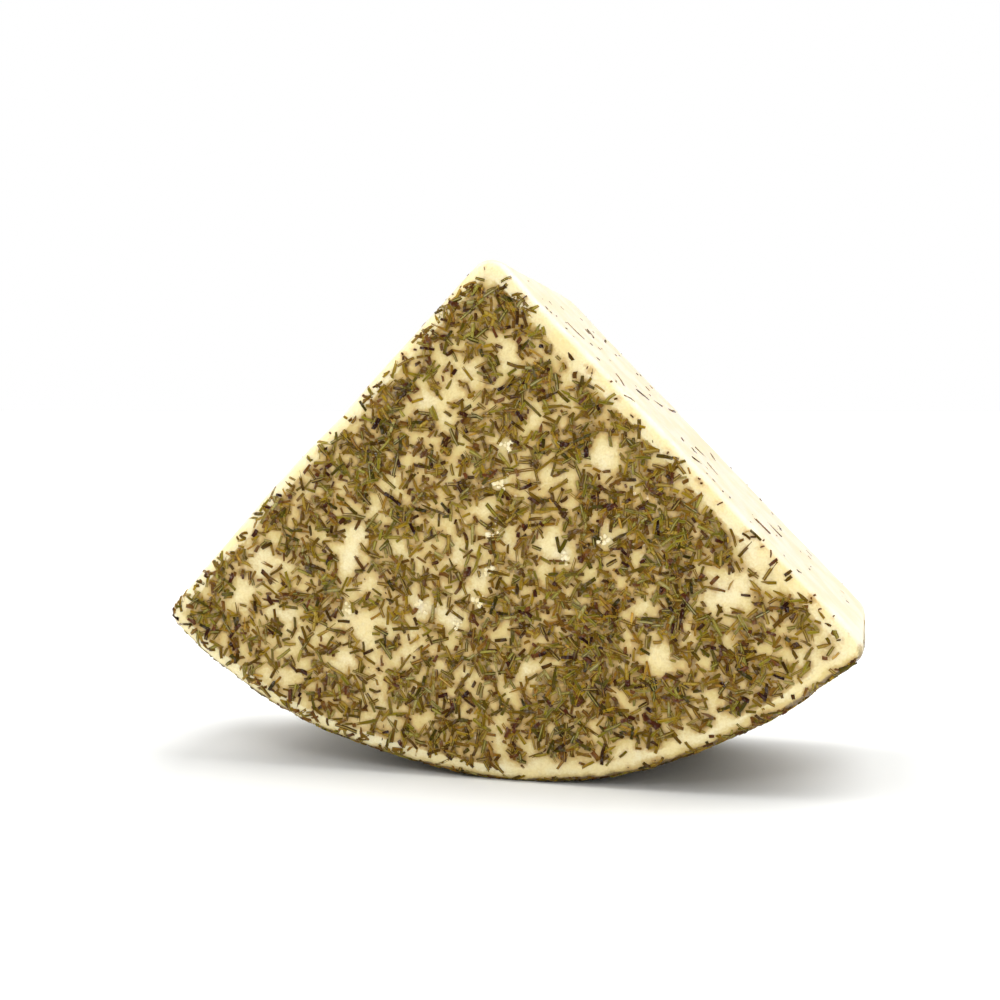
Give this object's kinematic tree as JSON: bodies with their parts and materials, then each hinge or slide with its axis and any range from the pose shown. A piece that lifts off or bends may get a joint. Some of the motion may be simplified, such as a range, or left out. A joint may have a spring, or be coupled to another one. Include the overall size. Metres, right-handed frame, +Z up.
{
  "type": "quarter wheel of herb-coated cheese",
  "caption": "Quarter wheel of pale pressed cheese coated with chopped rosemary needles, standing on its curved rim with the cut point up.",
  "frame": {"origin": "on the flat resting spot of the rim, straight under the point where the planes of the two cut faces meet, halfway through the thickness", "axes": "+Z up, X along the flat faces, Y through the thickness, with the flat face that the picture shows towards -Y"},
  "size_m": [0.2241, 0.0814, 0.162],
  "materials": {
    "cheese": "pale cream pressed cheese, softly translucent and slightly oily, with olive, brown and dark rosemary needles pressed into the flat faces and the rim"
  },
  "bodies": {
    "root": {"asiago_quarter": "cheese"}
  },
  "joints": []
}
